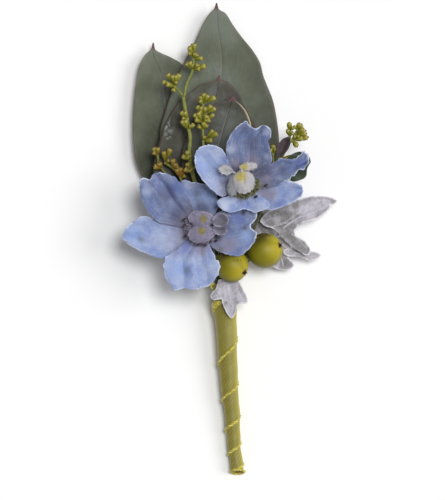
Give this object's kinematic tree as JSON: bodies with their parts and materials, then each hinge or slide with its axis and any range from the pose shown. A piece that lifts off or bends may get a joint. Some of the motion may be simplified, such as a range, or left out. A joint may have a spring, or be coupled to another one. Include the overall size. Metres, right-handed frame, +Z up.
{
  "type": "boutonniere",
  "caption": "Boutonniere lying flat: pale blue florets, green berries, bud sprays and silver leaves on eucalyptus leaves, stems bound in olive ribbon.",
  "frame": {"origin": "middle of the bounding box in plan, on the surface it lies on", "axes": "+Y from the bound cut end of the stems towards the leaf tips; +Z up, from the leaf backs towards the flowers"},
  "size_m": [0.0671, 0.1481, 0.0249],
  "materials": {
    "ribbon": "satin",
    "stem_tape": "matte",
    "leaf_olive": "waxy, satin",
    "leaf_grey": "waxy, satin",
    "leaf_dark": "waxy, satin",
    "buds": "satin",
    "buds_brown": "satin",
    "sprig_purple": "matte",
    "sprig_green": "matte",
    "sepal_blue": "soft matte",
    "petal_lavender": "soft matte",
    "petal_cream": "soft matte",
    "stamen": "matte",
    "green_stalk": "satin",
    "berry": "glossy",
    "silver_felt": "felted, matte"
  },
  "bodies": {
    "root": {"ribbon_wrap": "ribbon", "stem_bundle": "stem_tape", "eucalyptus_leaf_left": "leaf_olive", "eucalyptus_leaf_back": "leaf_grey", "eucalyptus_leaf_middle": "leaf_grey", "eucalyptus_leaf_front": "leaf_dark", "seeded_spray_main": "buds", "seeded_spray_low": "buds_brown", "seeded_sprig_right": "buds", "sprig_leaf_rolled": "sprig_purple", "sprig_leaf_broad": "sprig_green", "delphinium_left_sepals": "sepal_blue", "delphinium_left_petals": "petal_lavender", "delphinium_left_stamens": "stamen", "delphinium_left_stalk": "green_stalk", "delphinium_right_sepals": "sepal_blue", "delphinium_right_petals": "petal_cream", "delphinium_right_stamens": "stamen", "delphinium_right_stalk": "green_stalk", "berry_front": "berry", "berry_side": "berry", "berry_stalk": "green_stalk", "dusty_miller_right": "silver_felt", "dusty_miller_low": "silver_felt"}
  },
  "joints": []
}
